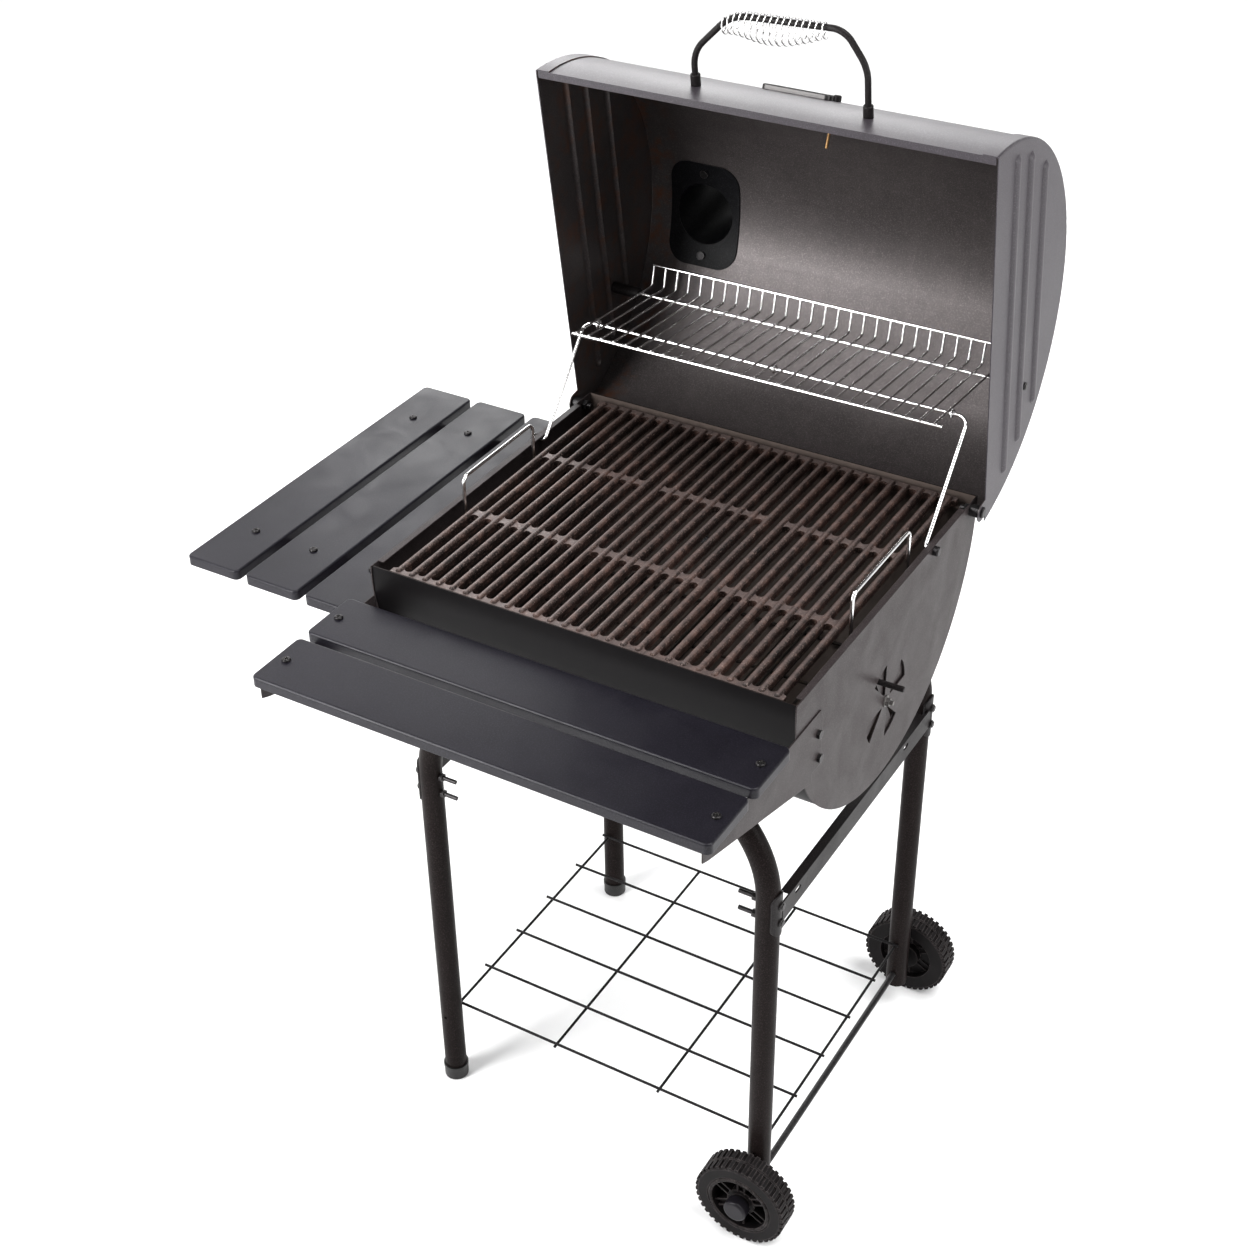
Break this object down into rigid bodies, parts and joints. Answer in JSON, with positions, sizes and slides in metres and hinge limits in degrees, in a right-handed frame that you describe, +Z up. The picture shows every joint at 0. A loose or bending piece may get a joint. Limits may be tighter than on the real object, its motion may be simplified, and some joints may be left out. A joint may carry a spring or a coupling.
{
  "type": "barrel charcoal grill",
  "caption": "Wheeled barrel charcoal grill, lid open, with iron grates, warming rack on a swing bail, front and side shelves and a wire bottom shelf.",
  "frame": {"origin": "bottom centre of the bounding box, on the ground, with the lid open", "axes": "+X along the barrel towards the wheels, +Y to the back, +Z up"},
  "size_m": [0.928, 1.1316, 1.5271],
  "materials": {
    "body_paint": "satin charcoal powder coat",
    "lid_paint": "satin charcoal powder coat, greyer inside",
    "shelf_paint": "satin black powder coat",
    "tube_paint": "satin black powder coat",
    "black_paint": "satin black powder coat",
    "flue_paint": "black enamel",
    "black_wire": "black coated wire",
    "coal_wire": "dark heat-stained wire",
    "grate_iron": "brown-grey seasoned casting",
    "chrome_wire": "bright plated wire",
    "badge_metal": "plain satin plate",
    "probe_brass": "dull brass",
    "dark_fastener": "black-oxide fastener",
    "bright_fastener": "plain steel fastener",
    "wheel_plastic": "moulded black plastic",
    "hub_plastic": "smooth black plastic",
    "cap_plastic": "moulded black plastic"
  },
  "bodies": {
    "frame": {"front_leg_frame": "tube_paint", "rear_leg_frame": "tube_paint", "leg_caps": "cap_plastic", "left_side_bar": "black_paint", "right_side_bar": "black_paint", "frame_bolts": "dark_fastener", "bottom_wire_shelf": "black_wire", "axle": "dark_fastener", "bowl_shell": "body_paint", "bowl_left_end": "body_paint", "bowl_right_end": "body_paint", "bowl_mount_bolts": "dark_fastener", "damper_bolt": "bright_fastener", "front_slat_inner": "shelf_paint", "front_slat_outer": "shelf_paint", "front_bracket_left": "body_paint", "front_bracket_right": "body_paint", "left_slat_inner": "shelf_paint", "left_slat_middle": "shelf_paint", "left_slat_outer": "shelf_paint", "left_bracket_front": "body_paint", "left_bracket_rear": "body_paint", "shelf_screws": "dark_fastener", "bracket_bolts": "dark_fastener", "hinge_bolts": "dark_fastener", "hinge_spacers": "dark_fastener", "hub_caps": "hub_plastic"},
    "lid": {"lid_shell": "lid_paint", "lid_left_end": "lid_paint", "lid_right_end": "lid_paint", "lid_handle": "black_paint", "handle_ferrules": "black_paint", "spring_grip": "chrome_wire", "badge_plate": "badge_metal", "gauge_boss": "black_paint", "gauge_probe": "probe_brass", "flue_flange": "flue_paint", "smokestack": "flue_paint", "flue_bolts": "dark_fastener", "rack_bushes": "black_paint", "rack_bolts": "dark_fastener"},
    "rack": {"warming_rack": "chrome_wire"},
    "bail": {"swing_bail": "chrome_wire", "bail_caps": "dark_fastener"},
    "wheel_front": {"front_wheel": "wheel_plastic"},
    "wheel_rear": {"rear_wheel": "wheel_plastic"},
    "damper": {"damper_disc": "body_paint", "damper_handle": "black_paint"},
    "grate_left": {"cooking_grate_left": "grate_iron"},
    "grate_centre": {"cooking_grate_centre": "grate_iron"},
    "grate_right": {"cooking_grate_right": "grate_iron"},
    "coal_tray": {"charcoal_grate": "coal_wire", "charcoal_bail_left": "chrome_wire", "charcoal_bail_right": "chrome_wire"}
  },
  "joints": [
    {"name": "lid_hinge", "type": "hinge", "parent": "frame", "child": "lid", "pos_m": [0.133, 0.17024, 0.908], "axis": [1, 0, 0], "range_deg": [0, 81.3]},
    {"name": "rack_pivot", "type": "hinge", "parent": "lid", "child": "rack", "pos_m": [0.133, 0.28424, 1.041], "axis": [1, 0, 0], "range_deg": [-81.3, 0]},
    {"name": "bail_pivot", "type": "hinge", "parent": "frame", "child": "bail", "pos_m": [0.133, 0.04824, 0.912], "axis": [1, 0, 0], "range_deg": [0, 81.3]},
    {"name": "front_wheel_spin", "type": "hinge", "parent": "frame", "child": "wheel_front", "pos_m": [0.389, -0.34776, 0.0675], "axis": [0, 1, 0], "continuous": true},
    {"name": "rear_wheel_spin", "type": "hinge", "parent": "frame", "child": "wheel_rear", "pos_m": [0.389, 0.21024, 0.0675], "axis": [0, 1, 0], "continuous": true},
    {"name": "damper_turn", "type": "hinge", "parent": "frame", "child": "damper", "pos_m": [0.427, -0.07576, 0.755], "axis": [1, 0, 0], "range_deg": [-18, 7]},
    {"name": "left_grate_lift", "type": "slide", "parent": "frame", "child": "grate_left", "axis": [0, 0, 1], "range_m": [0, 0.04]},
    {"name": "centre_grate_lift", "type": "slide", "parent": "frame", "child": "grate_centre", "axis": [0, 0, 1], "range_m": [0, 0.04]},
    {"name": "right_grate_lift", "type": "slide", "parent": "frame", "child": "grate_right", "axis": [0, 0, 1], "range_m": [0, 0.04]},
    {"name": "coal_lift", "type": "slide", "parent": "frame", "child": "coal_tray", "axis": [0, 0, 1], "range_m": [0, 0.04]}
  ],
  "couplings": [
    {"joint": "rack_pivot", "follows": "lid_hinge", "ratio": -1},
    {"joint": "bail_pivot", "follows": "lid_hinge", "ratio": 1}
  ]
}
